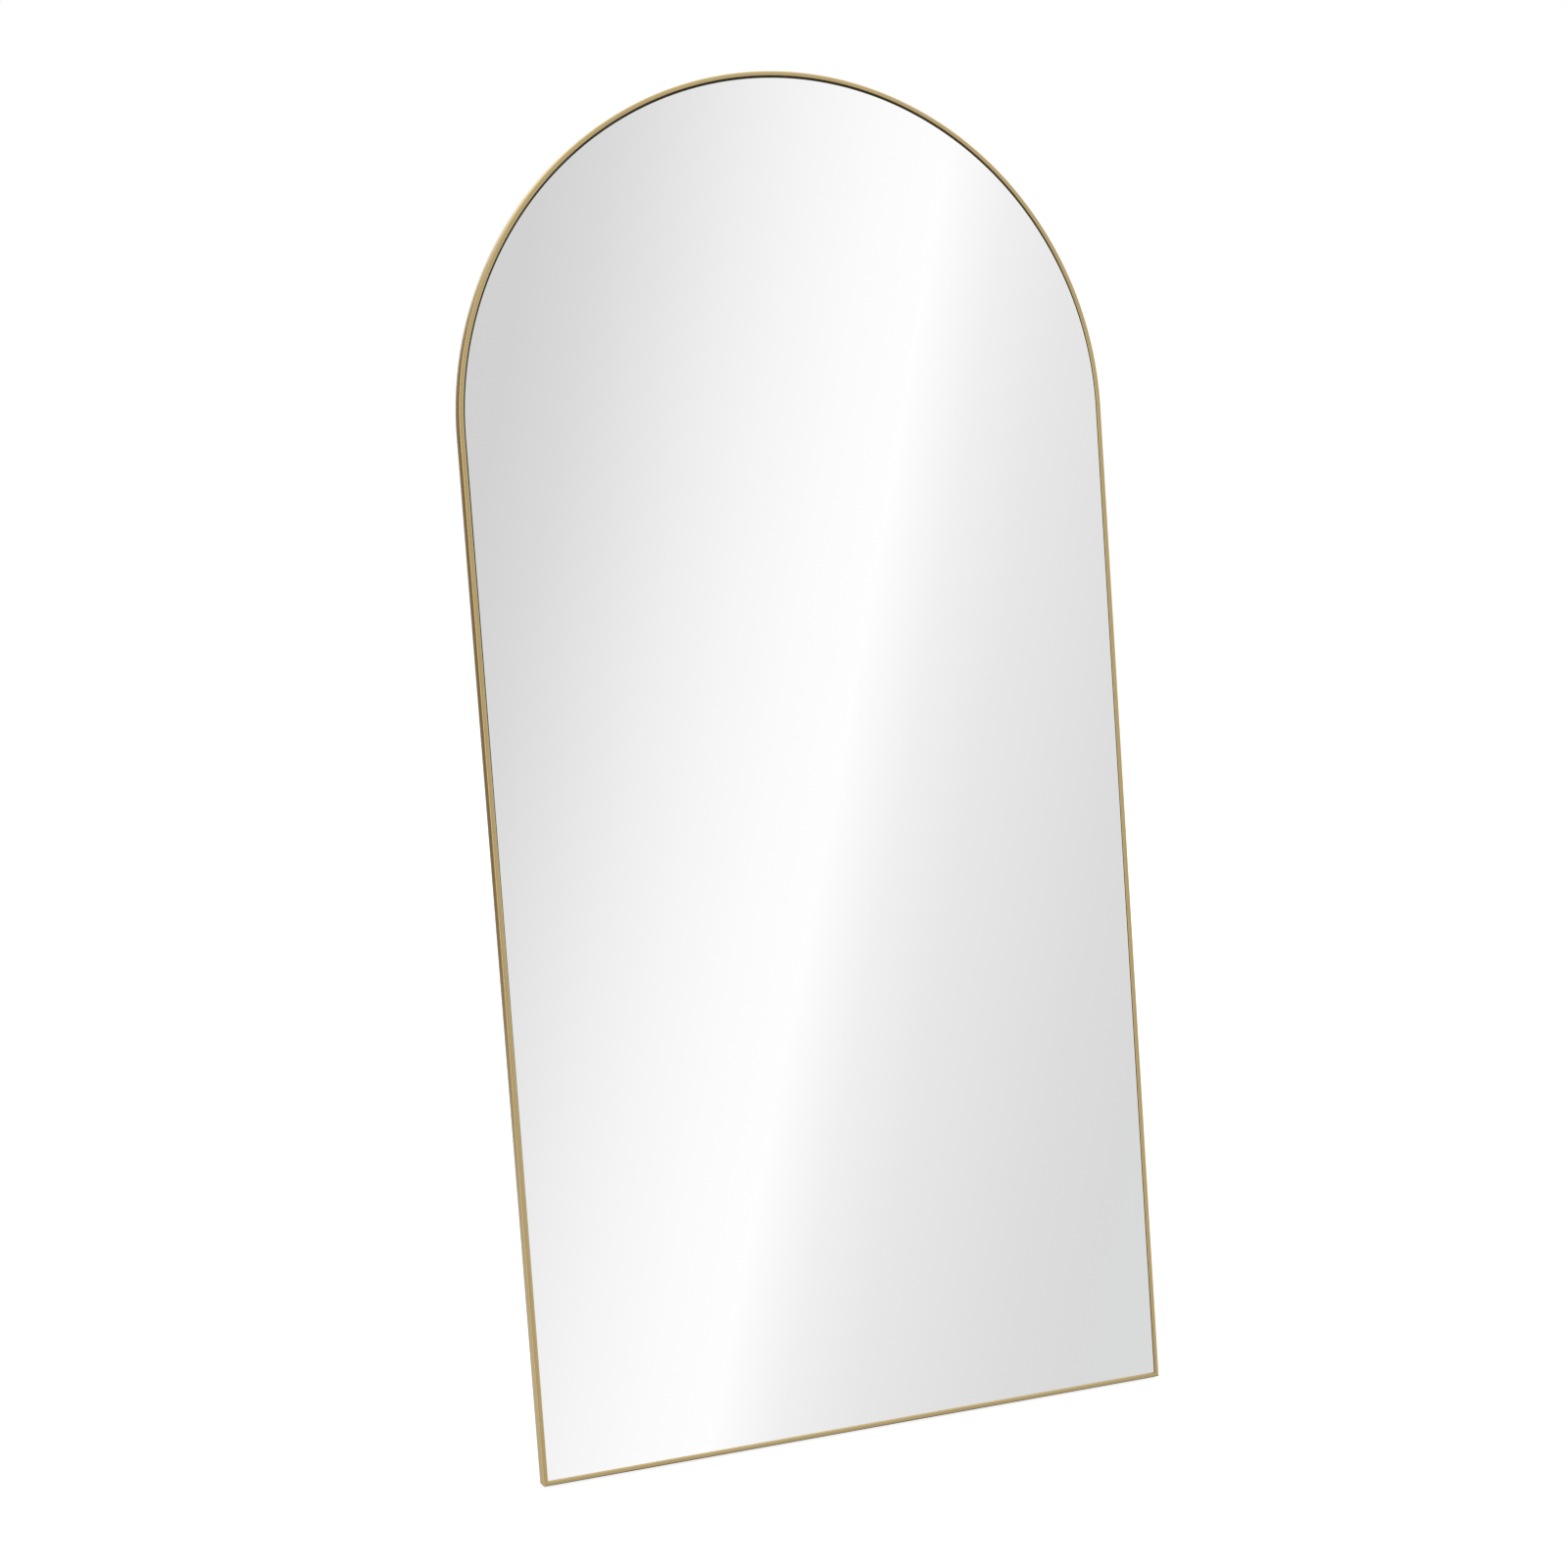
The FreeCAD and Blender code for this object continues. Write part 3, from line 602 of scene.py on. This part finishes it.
def edge_round(radius, top, size, steps=4):
    """Profile of a rounded outer edge, as (radius, v), from the side onto the top."""
    points = []
    for i in range(steps + 1):
        angle = math.radians(90) * i / steps
        points.append((radius - size * (1 - math.cos(angle)), top - size * (1 - math.sin(angle))))
    return points


def recessed(bm, top, shape, depth):
    """Sink a straight-sided recess, drawn as (x, z), into a turned head that is open at its top."""
    rim = [edge for edge in bm.edges if edge.is_boundary]
    verts = outline(bm, [(x, top, z) for x, z in shape])
    mouth = list(dict.fromkeys(edge for vert in verts for edge in vert.link_edges))
    bmesh.ops.bridge_loops(bm, edges=rim + mouth)
    swept_on(bm, mouth, BACKWARDS * -depth)
    capped(bm)


def cross_shape(reach, half_width):
    """Outline of a cross recess as (x, z)."""
    quarter = [(half_width, half_width), (half_width, reach), (-half_width, reach)]
    points = []
    for i in range(4):
        c, s = round(math.cos(i * math.pi / 2)), round(math.sin(i * math.pi / 2))
        points += [(x * c - z * s, x * s + z * c) for x, z in quarter]
    return points


def hexagon(radius):
    return [(radius * math.cos(math.radians(60 * i)), radius * math.sin(math.radians(60 * i)))
            for i in range(6)]


# Bars and what is fixed to them


def cross_bar(name, height, finishes):
    bm = bmesh.new()
    half = BAR_WIDTH / 2
    verts = outline(bm, [(x, WEB_BACK, height + z) for x, z in (
        (-BAR_HALF_LENGTH, -half), (BAR_HALF_LENGTH, -half),
        (BAR_HALF_LENGTH, half), (-BAR_HALF_LENGTH, half))])
    rounded(bm, verts, BAR_END_ROUND, 6)
    swept_on(bm, bm.edges[:], BACKWARDS * BAR_THICKNESS)
    capped(bm)
    bmesh.ops.recalc_face_normals(bm, faces=bm.faces[:])
    rims = [edge for edge in bm.edges if abs(edge.verts[0].co.y - edge.verts[1].co.y) < EXACT]
    bmesh.ops.bevel(
        bm, geom=rims, offset=BAR_EDGE_ROUND, offset_type="OFFSET", affect="EDGES", segments=2,
        profile=0.5, material=-1,
    )
    finished("cross_bar_" + name + "_dressed", bm, "mirror",
             finishes["bar_steel"], ["cross_bar_" + name])


def both_sides(bm, build, places):
    """Build a piece at each (x, z) place and at its mirror image, in one mesh."""
    for x, z in places:
        for side in (-1, 1):
            part = bmesh.new()
            build(part)
            moved(part, part.verts[:], Vector((side * x, 0, z)))
            mesh = bpy.data.meshes.new("part")
            part.to_mesh(mesh)
            part.free()
            bm.from_mesh(mesh)
            bpy.data.meshes.remove(mesh)


def bar_screw(bm):
    """Pan-headed screw with a cross recess."""
    shank = 1.75 * MM
    head = 3.3 * MM
    crown = BAR_BACK + 1.4 * MM
    flat = 2.1 * MM
    tip = WEB_FRONT - 0.6 * MM
    turned_piece(bm, [
        (0, tip), (shank, tip), (shank, BAR_BACK),
        (head - 0.15 * MM, BAR_BACK), (head, BAR_BACK + 0.15 * MM), (head, BAR_BACK + 0.5 * MM),
        (head - 0.2 * MM, BAR_BACK + 0.9 * MM), (head - 0.65 * MM, BAR_BACK + 1.25 * MM),
        (flat, crown),
    ])
    recessed(bm, crown, cross_shape(1.7 * MM, 0.42 * MM), 1.0 * MM)


def cross_bar_screws(finishes):
    bm = bmesh.new()
    both_sides(bm, bar_screw, [(SCREW_X, height) for height in BAR_HEIGHTS.values()])
    finished("cross_bar_screws_dressed", bm, "mirror",
             finishes["screw_steel"], ["cross_bar_screws"], 30)


def grub_screw(bm):
    """Headless screw with a hexagonal socket."""
    start = WEB_BACK + 1 * MM
    end = HOOK_FRONT + 0.3 * MM
    radius = 2 * MM
    edge = 0.3 * MM
    turned_piece(bm, [(0, start), (radius, start), (radius, end - edge), (radius - edge, end)])
    recessed(bm, end, hexagon(1.15 * MM), 1.6 * MM)


def corner_screws(finishes):
    bm = bmesh.new()
    places = [(RADIUS - GRUB_DISTANCE, SLOT_CENTRE), (RADIUS - SLOT_CENTRE, GRUB_DISTANCE)]
    both_sides(bm, grub_screw, places)
    finished("corner_screws_dressed", bm, "mirror",
             finishes["screw_steel"], ["corner_screws"], 30)


def rivet(bm):
    """Rivet with a domed head behind the strap and its tail set against the bar's front."""
    shank = 2.5 * MM
    head = 4.5 * MM
    tail = 3.75 * MM
    tail_front = WEB_BACK - 0.9 * MM
    base = STRAP_BACK
    turned_piece(bm, [
        (0, tail_front), (tail - 0.4 * MM, tail_front), (tail, tail_front + 0.4 * MM),
        (tail, WEB_BACK), (shank, WEB_BACK), (shank, base), (head - 0.12 * MM, base),
        (head, base + 0.12 * MM),
    ] + dome(head, base + 0.3 * MM, 1.0 * MM))


def hanger_rivets(finishes):
    bm = bmesh.new()
    both_sides(bm, rivet, [(HANGER_X, EYE_HEIGHT + RIVET_ABOVE_EYE)])
    finished("hanger_rivets_dressed", bm, "mirror",
             finishes["rivet_aluminium"], ["hanger_rivets"], 30)


def hanger_strap(side, sign, finishes):
    """Sheet folded round the ring's straight side, then up behind its own first layer."""
    bm = bmesh.new()
    left = sign * HANGER_X - STRAP_WIDTH / 2
    sheet = STRAP_SHEET - STRAP_SLIT / 2
    front = BAR_BACK + STRAP_SLIT / 4
    back = STRAP_BACK - STRAP_SLIT / 4
    wrap = EYE_DEPTH - front
    neck = STRAP_NECK
    neck_y = back + neck
    lift = math.sqrt((wrap + neck) ** 2 - (neck_y - EYE_DEPTH) ** 2)
    lean_over = math.degrees(math.atan2(neck_y - EYE_DEPTH, lift))
    top = EYE_HEIGHT + STRAP_LENGTH
    laid_path(bm, (left, front, top), [
        (UP * (EYE_HEIGHT - top),),
        ((left, EYE_DEPTH, EYE_HEIGHT), ACROSS, 270 - lean_over, 40),
        ((left, neck_y, EYE_HEIGHT + lift), ACROSS, lean_over - 90, 10),
        (UP * (top - EYE_HEIGHT - lift),),
    ])
    swept_on(bm, bm.edges[:], ACROSS * STRAP_WIDTH)
    bmesh.ops.recalc_face_normals(bm, faces=bm.faces[:])
    bmesh.ops.solidify(bm, geom=bm.verts[:] + bm.edges[:] + bm.faces[:], thickness=sheet)
    bmesh.ops.recalc_face_normals(bm, faces=bm.faces[:])
    corners = [edge for edge in bm.edges
               if all(vert.co.z > top - SHEET_TOLERANCE for vert in edge.verts)
               and abs(edge.verts[0].co.x - edge.verts[1].co.x) < SHEET_TOLERANCE]
    bmesh.ops.bevel(
        bm, geom=corners, offset=STRAP_END_RADIUS, offset_type="OFFSET", affect="EDGES",
        segments=12, profile=0.5, material=-1,
    )
    finished("hanger_strap_" + side + "_dressed", bm, "mirror",
             finishes["zinc_steel"], ["hanger_strap_" + side])


def d_ring(side, sign, finishes):
    """Ring of round wire that hangs plumb from its eye once the mirror leans."""
    bm = bmesh.new()
    half = RING_WIDTH / 2
    corner = RING_CORNER_RADIUS
    straight = RING_WIDTH - 2 * corner
    lay = Matrix.Translation((corner - half, 0, 0)) @ Matrix.Rotation(math.radians(90), 4, "Y")
    bmesh.ops.create_circle(bm, cap_ends=False, radius=RING_WIRE / 2, segments=24, matrix=lay)
    edges = swept_on(bm, bm.edges[:], ACROSS * straight)
    edges = swept_round(bm, edges, (half - corner, 0, -corner), BACKWARDS, 90, 12)
    edges = swept_on(bm, edges, UP * (corner - RING_SIDE))
    edges = swept_round(bm, edges, (0, 0, -RING_SIDE), BACKWARDS, 180, 48)
    edges = swept_on(bm, edges, UP * (RING_SIDE - corner))
    swept_round(bm, edges, (corner - half, 0, -corner), BACKWARDS, 90, 12)
    turn = Matrix.Rotation(math.radians(LEAN_ANGLE), 4, "X")
    place = Matrix.Translation((sign * HANGER_X, EYE_DEPTH, EYE_HEIGHT))
    bmesh.ops.transform(bm, matrix=place @ turn, verts=bm.verts[:])
    finished("d_ring_" + side + "_dressed", bm, "ring_" + side,
             finishes["ring_steel"], ["d_ring_" + side])


# Rubber


def hanger_buffer(side, sign, finishes):
    """Push-in stud with a soft edge and a moulded dimple."""
    bm = bmesh.new()
    stem = 3 * MM
    tip = WEB_BACK - 1.8 * MM
    top = DEPTH + BUFFER_PROUD
    foot = 9 * MM
    crown = 8.3 * MM
    dimple = 3 * MM
    turned_piece(bm, [
        (0, tip), (stem - 0.5 * MM, tip), (stem, tip + 0.5 * MM), (stem, BAR_BACK),
        (foot - 0.3 * MM, BAR_BACK), (foot, BAR_BACK + 0.3 * MM), (foot, BAR_BACK + 1.6 * MM),
        (foot - 0.3 * MM, BAR_BACK + 1.9 * MM),
    ] + edge_round(crown, top, 2 * MM, 6) + [
        (dimple + 0.3 * MM, top), (dimple, top - 0.2 * MM), (dimple - 0.4 * MM, top - 0.9 * MM),
        (0, top - 1.1 * MM),
    ])
    moved(bm, bm.verts[:], Vector((sign * BUFFER_X, 0, BAR_HEIGHTS["upper"])))
    finished("hanger_buffer_" + side + "_dressed", bm, "mirror",
             finishes["bumper_rubber"], ["hanger_buffer_" + side], 40)


def wall_bumper(side, sign, finishes):
    """Stick-on rubber dome across the channel's slot at the back of the head."""
    bm = bmesh.new()
    foot = 6.5 * MM
    turned_piece(bm, [(0, DEPTH), (foot, DEPTH), (foot, DEPTH + 0.8 * MM)]
                 + dome(foot - 0.15 * MM, DEPTH + 1.0 * MM, 4.0 * MM, 14))
    moved(bm, bm.verts[:], Vector((0, 0, RADIUS - SLOT_CENTRE)))
    turn = Matrix.Rotation(math.radians(sign * BUMPER_ANGLE), 4, "Y")
    bmesh.ops.transform(bm, matrix=Matrix.Translation(HEAD_CENTRE) @ turn, verts=bm.verts[:])
    finished("wall_bumper_" + side + "_dressed", bm, "mirror",
             finishes["bumper_rubber"], ["wall_bumper_" + side], 40)


# Stage

FLOOR_REACH = 30.0
FLOOR_GREY = 0.45
FLOOR_GLOW = 0.8


def stage_floor():
    """Floor that takes the mirror's shadow and glows near white; reflections pass it by."""
    bm = bmesh.new()
    bmesh.ops.create_grid(bm, x_segments=1, y_segments=1, size=FLOOR_REACH)
    mesh = bpy.data.meshes.new("floor")
    bm.to_mesh(mesh)
    bm.free()
    floor = bpy.data.objects.new("floor", mesh)
    bpy.context.scene.collection.objects.link(floor)
    material, tree, shader = node_material("white_floor")
    shader.inputs["Base Color"].default_value = (*grey(FLOOR_GREY), 1)
    shader.inputs["Roughness"].default_value = 1.0
    shader.inputs["Specular IOR Level"].default_value = 0.0
    shader.inputs["Emission Color"].default_value = (1, 1, 1, 1)
    path = added(tree, "ShaderNodeLightPath")
    shown = added(tree, "ShaderNodeMath", operation="MAXIMUM")
    tree.links.new(path.outputs["Is Camera Ray"], shown.inputs[0])
    tree.links.new(path.outputs["Is Glossy Ray"], shown.inputs[1])
    glow = spread(tree, shown.outputs["Value"], 0.0, FLOOR_GLOW)
    tree.links.new(glow, shader.inputs["Emission Strength"])
    mesh.materials.append(material)
    floor.visible_glossy = False


# Reflected studio, as (degrees round from the band, colour).  Leftwards of the bright slanting
# band come a cream card, a brown one, a bright one, a dark one behind the left side and the
# bright back; rightwards the band drops to a cool grey that brightens all the way to the back
BAND_STOPS = [
    (-200.7, grey(1.50)), (-195.0, (1.10, 1.08, 1.02)), (-189.0, (0.34, 0.27, 0.18)),
    (-183.0, (0.18, 0.12, 0.07)), (-165.0, (0.18, 0.12, 0.07)),
    (-152.0, (1.35, 1.33, 1.28)), (-72.0, (1.35, 1.33, 1.28)),
    (-60.0, (0.26, 0.21, 0.14)), (-46.0, (0.26, 0.21, 0.14)),
    (-36.0, (0.95, 0.90, 0.72)), (-26.0, (0.95, 0.90, 0.72)), (-18.0, (0.80, 0.75, 0.60)),
    (-12.5, grey(0.635)), (-9.0, grey(0.65)), (-4.5, grey(0.90)), (-1.8, grey(0.99)),
    (-0.3, grey(1.0)), (0.6, grey(0.84)), (5.5, grey(0.70)), (12.0, (0.71, 0.72, 0.74)),
    (28.0, (0.95, 0.965, 1.0)), (60.0, (1.32, 1.32, 1.33)),
    (140.0, grey(1.50)), (159.3, grey(1.50)),
]
BAND_AZIMUTH = 20.7
BAND_SLANT = 0.345
BRIGHTEST = 1.5
MATT_LIGHT = 0.6
GROUND_LIGHT = (0.82, 0.80, 0.75)
GROUND_TOP = -17.0
GROUND_FULL = -23.0
NEAR_GROUND_LIGHT = (0.10, 0.08, 0.06)
NEAR_GROUND_TOP = -27.5
NEAR_GROUND_FULL = -34.0
SKY_LIGHT = grey(1.30)
SKY_START = 22.0
SKY_FULL = 42.0


def studio_world():
    """White behind, plain light on matt surfaces, and the band for what shines."""
    world = bpy.data.worlds.new("studio")
    world.use_nodes = True
    bpy.context.scene.world = world
    tree = world.node_tree
    background = tree.nodes["Background"]
    place = added(tree, "ShaderNodeTexCoord").outputs["Generated"]
    parts = added(tree, "ShaderNodeSeparateXYZ")
    tree.links.new(place, parts.inputs["Vector"])
    towards_front = math_node(tree, "MULTIPLY", parts.outputs["Y"], -1.0)
    azimuth = math_node(tree, "ARCTAN2", parts.outputs["X"], towards_front)
    elevation = math_node(tree, "ARCSINE", parts.outputs["Z"])
    slanted = math_node(tree, "MULTIPLY", elevation, -BAND_SLANT)
    across = math_node(tree, "ADD", azimuth, slanted)
    low, high = BAND_STOPS[0][0], BAND_STOPS[-1][0]
    inside = between(tree, across, BAND_AZIMUTH + low, BAND_AZIMUTH + high)
    stops = [((degrees - low) / (high - low), tuple(Vector(colour) / BRIGHTEST))
             for degrees, colour in BAND_STOPS]
    band = added(tree, "ShaderNodeVectorMath", operation="SCALE")
    band.inputs["Scale"].default_value = BRIGHTEST
    tree.links.new(ramp(tree, inside, stops), band.inputs["Vector"])
    ground = between(tree, elevation, GROUND_TOP, GROUND_FULL, "SMOOTHSTEP")
    near_ground = between(tree, elevation, NEAR_GROUND_TOP, NEAR_GROUND_FULL, "SMOOTHSTEP")
    sky = between(tree, elevation, SKY_START, SKY_FULL, "SMOOTHSTEP")
    lit = blended(tree, ground, band.outputs["Vector"], GROUND_LIGHT)
    lit = blended(tree, near_ground, lit, NEAR_GROUND_LIGHT)
    lit = blended(tree, sky, lit, SKY_LIGHT)
    path = added(tree, "ShaderNodeLightPath")
    shiny = blended(tree, path.outputs["Is Glossy Ray"], grey(MATT_LIGHT), lit)
    seen = blended(tree, path.outputs["Is Camera Ray"], shiny, grey(1.0))
    tree.links.new(seen, background.inputs["Color"])


def between(tree, value, low, high, kind="LINEAR"):
    """0 at the low angle in degrees and 1 at the high one."""
    node = added(tree, "ShaderNodeMapRange", interpolation_type=kind)
    node.inputs["From Min"].default_value = math.radians(low)
    node.inputs["From Max"].default_value = math.radians(high)
    tree.links.new(value, node.inputs["Value"])
    return node.outputs["Result"]


def blended(tree, amount, first, second):
    """Mix of two colours, each a fixed one or a node's output."""
    node = added(tree, "ShaderNodeMix", data_type="RGBA")
    tree.links.new(amount, node.inputs["Factor"])
    for name, colour in (("A", first), ("B", second)):
        if isinstance(colour, tuple):
            node.inputs[name].default_value = (*colour, 1)
        else:
            tree.links.new(colour, node.inputs[name])
    return node.outputs["Result"]


def math_node(tree, operation, first, second=None):
    node = added(tree, "ShaderNodeMath", operation=operation)
    tree.links.new(first, node.inputs[0])
    if isinstance(second, (int, float)):
        node.inputs[1].default_value = second
    elif second is not None:
        tree.links.new(second, node.inputs[1])
    return node.outputs["Value"]


# Camera, at the photograph's place and angle
CAMERA_PLACE = Vector((-1.44366, -3.36844, 1.83380))
CAMERA_AZIMUTH = 21.5478
CAMERA_ELEVATION = -15.7155
CAMERA_ROLL = 0.091
CAMERA_LENS = 67.15
CAMERA_SENSOR = 36
CAMERA_SHIFT_UP = 0.05215


def make_camera():
    data = bpy.data.cameras.new("camera")
    data.lens = CAMERA_LENS
    data.sensor_width = CAMERA_SENSOR
    data.shift_y = CAMERA_SHIFT_UP
    camera = bpy.data.objects.new("camera", data)
    bpy.context.scene.collection.objects.link(camera)
    turn = Matrix.Rotation(math.radians(-CAMERA_AZIMUTH), 4, "Z")
    tilt = Matrix.Rotation(math.radians(90 + CAMERA_ELEVATION), 4, "X")
    roll = Matrix.Rotation(math.radians(CAMERA_ROLL), 4, "Z")
    camera.matrix_world = Matrix.Translation(CAMERA_PLACE) @ turn @ tilt @ roll
    bpy.context.scene.camera = camera


# Lamps
LAMP_PLACES = {"key_light": Vector((-1.8, -2.6, 3.4)), "rear_light": Vector((1.6, 3.0, 3.0))}
LAMP_AIM = Vector((0, 0, 0.9))
LAMP_SIZE = 2.0
LAMP_WATTS = 60


def soft_lamp(name, place):
    """Large square lamp that lights matt surfaces only and isn't seen."""
    data = bpy.data.lights.new(name, "AREA")
    data.shape = "RECTANGLE"
    data.size = LAMP_SIZE
    data.size_y = LAMP_SIZE
    data.energy = LAMP_WATTS
    lamp = bpy.data.objects.new(name, data)
    lamp.location = place
    lamp.rotation_euler = (LAMP_AIM - place).to_track_quat("-Z", "Y").to_euler()
    lamp.visible_camera = False
    lamp.visible_glossy = False
    bpy.context.scene.collection.objects.link(lamp)


def main():
    """Give every node its finish, dress the pieces that need more, and set the stage."""
    finishes = make_finishes()
    slots = {part["node"]: part["material_slot"] for part in frame["record"]["subparts"]}
    for name, node in frame["nodes"].items():
        node.data.materials.clear()
        node.data.materials.append(finishes[slots[name]])
    frame_arch(finishes)
    bottom_rail(finishes)
    arch_gasket(finishes)
    for name, height in BAR_HEIGHTS.items():
        cross_bar(name, height, finishes)
    cross_bar_screws(finishes)
    corner_screws(finishes)
    hanger_rivets(finishes)
    for side, sign in (("left", -1), ("right", 1)):
        hanger_strap(side, sign, finishes)
        d_ring(side, sign, finishes)
        hanger_buffer(side, sign, finishes)
        wall_bumper(side, sign, finishes)
    stage_floor()
    studio_world()
    make_camera()
    for name, place in LAMP_PLACES.items():
        soft_lamp(name, place)
    bpy.context.scene.view_settings.view_transform = "Standard"


main()
